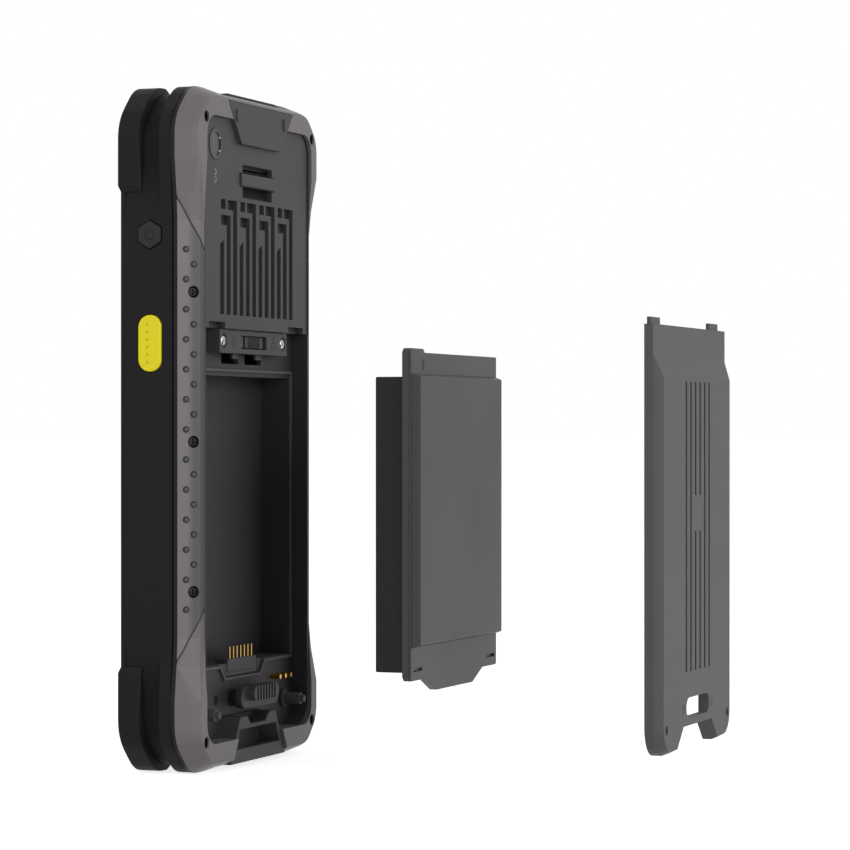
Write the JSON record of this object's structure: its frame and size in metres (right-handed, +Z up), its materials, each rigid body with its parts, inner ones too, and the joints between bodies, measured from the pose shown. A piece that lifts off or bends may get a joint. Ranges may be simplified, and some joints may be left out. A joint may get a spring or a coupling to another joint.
{
  "type": "handheld data terminal",
  "caption": "Rugged handheld barcode data terminal with touch screen, lift-off battery and lift-off back cover, sliding latches and side scan keys.",
  "frame": {"origin": "middle of the lower end, on the plane that the corner bumpers stand on, 1 mm below the middle face of that end", "axes": "+Z up along the height of the terminal, +Y out of the back, towards the battery and cover, +X towards the right-hand side of the terminal, the side with the power key"},
  "size_m": [0.0792, 0.1335, 0.166],
  "materials": {
    "body_black": "fine-grained matt moulding",
    "housing_grey": "fine-grained matt moulding",
    "panel_grey": "fine-grained matt moulding",
    "cap_grey": "satin over-moulded bumper",
    "strip_grey": "satin over-moulded strip",
    "screen_glass": "polished black-backed glass",
    "display_black": "gloss",
    "mesh_steel": "woven mesh",
    "board_green": "solder-resist satin",
    "camera_glass": "polished",
    "scan_glass": "polished dark red",
    "lamp_lens": "clear lens",
    "module_black": "matt",
    "fitting_grey": "satin moulding",
    "seal_grey": "soft rib",
    "contact_gold": "gold-plated",
    "spring_steel": "satin",
    "screw_steel": "satin",
    "screw_black": "black oxide",
    "key_black": "matt",
    "key_yellow": "satin",
    "port_steel": "satin",
    "battery_black": "fine-grained matt moulding",
    "battery_grey": "fine-grained matt moulding",
    "cell_film": "shrink film",
    "cover_grey": "fine-grained matt moulding"
  },
  "bodies": {
    "terminal": {"front_housing": "body_black", "touch_glass": "screen_glass", "earpiece_mesh": "mesh_steel", "display_module": "display_black", "mid_frame": "body_black", "main_board": "board_green", "rear_housing": "housing_grey", "rear_panel": "panel_grey", "grip_strip_right": "strip_grey", "grip_strip_left": "strip_grey", "upper_cap": "cap_grey", "lower_cap_right": "cap_grey", "lower_cap_left": "cap_grey", "scanner_cap": "panel_grey", "scan_bezel": "module_black", "scan_window": "scan_glass", "scan_engine": "module_black", "camera_window": "camera_glass", "camera_module": "module_black", "flash_lamps": "lamp_lens", "loudspeaker": "module_black", "speaker_mesh": "mesh_steel", "strap_bar": "panel_grey", "strap_anchor": "panel_grey", "bay_seal": "seal_grey", "contact_block": "fitting_grey", "contact_blades": "contact_gold", "latch_plate": "panel_grey", "latch_screws": "screw_steel", "eject_leaf": "spring_steel", "guide_posts": "panel_grey", "corner_screws": "screw_black", "strip_screws": "screw_black", "key_board_right": "board_green", "key_board_left": "board_green", "data_port": "port_steel"},
    "battery": {"battery_case": "battery_black", "battery_lid": "battery_grey", "battery_cell": "cell_film", "battery_board": "board_green", "battery_contacts": "contact_gold"},
    "back_cover": {"cover_shell": "cover_grey"},
    "battery_latch": {"battery_latch": "fitting_grey"},
    "cover_latch": {"cover_latch": "fitting_grey"},
    "power_key": {"power_key": "key_black"},
    "scan_key_right": {"scan_key_right": "key_yellow"},
    "scan_key_left": {"scan_key_left": "key_yellow"},
    "volume_key": {"volume_key": "key_black"},
    "contact_pins": {"pogo_pins": "contact_gold"}
  },
  "joints": [
    {"name": "battery_pull", "type": "slide", "parent": "terminal", "child": "battery", "axis": [0, 1, 0], "range_m": [-0.0541, 0]},
    {"name": "cover_pull", "type": "slide", "parent": "battery", "child": "back_cover", "axis": [0, 1, 0], "range_m": [-0.0569, 0]},
    {"name": "battery_latch_slide", "type": "slide", "parent": "terminal", "child": "battery_latch", "axis": [1, 0, 0], "range_m": [-0.0019, 0]},
    {"name": "cover_latch_slide", "type": "slide", "parent": "terminal", "child": "cover_latch", "axis": [1, 0, 0], "range_m": [0, 0.0038]},
    {"name": "power_key_press", "type": "slide", "parent": "terminal", "child": "power_key", "axis": [-1, 0, 0], "range_m": [0, 0.0004], "stiffness_N_per_m": 6000},
    {"name": "scan_key_right_press", "type": "slide", "parent": "terminal", "child": "scan_key_right", "axis": [-1, 0, 0], "range_m": [0, 0.0004], "stiffness_N_per_m": 6000},
    {"name": "scan_key_left_press", "type": "slide", "parent": "terminal", "child": "scan_key_left", "axis": [1, 0, 0], "range_m": [0, 0.0004], "stiffness_N_per_m": 6000},
    {"name": "volume_key_press", "type": "slide", "parent": "terminal", "child": "volume_key", "axis": [1, 0, 0], "range_m": [0, 0.0004], "stiffness_N_per_m": 6000},
    {"name": "contact_pins_press", "type": "slide", "parent": "terminal", "child": "contact_pins", "axis": [0, -1, 0], "range_m": [0, 0.0006], "stiffness_N_per_m": 800}
  ]
}
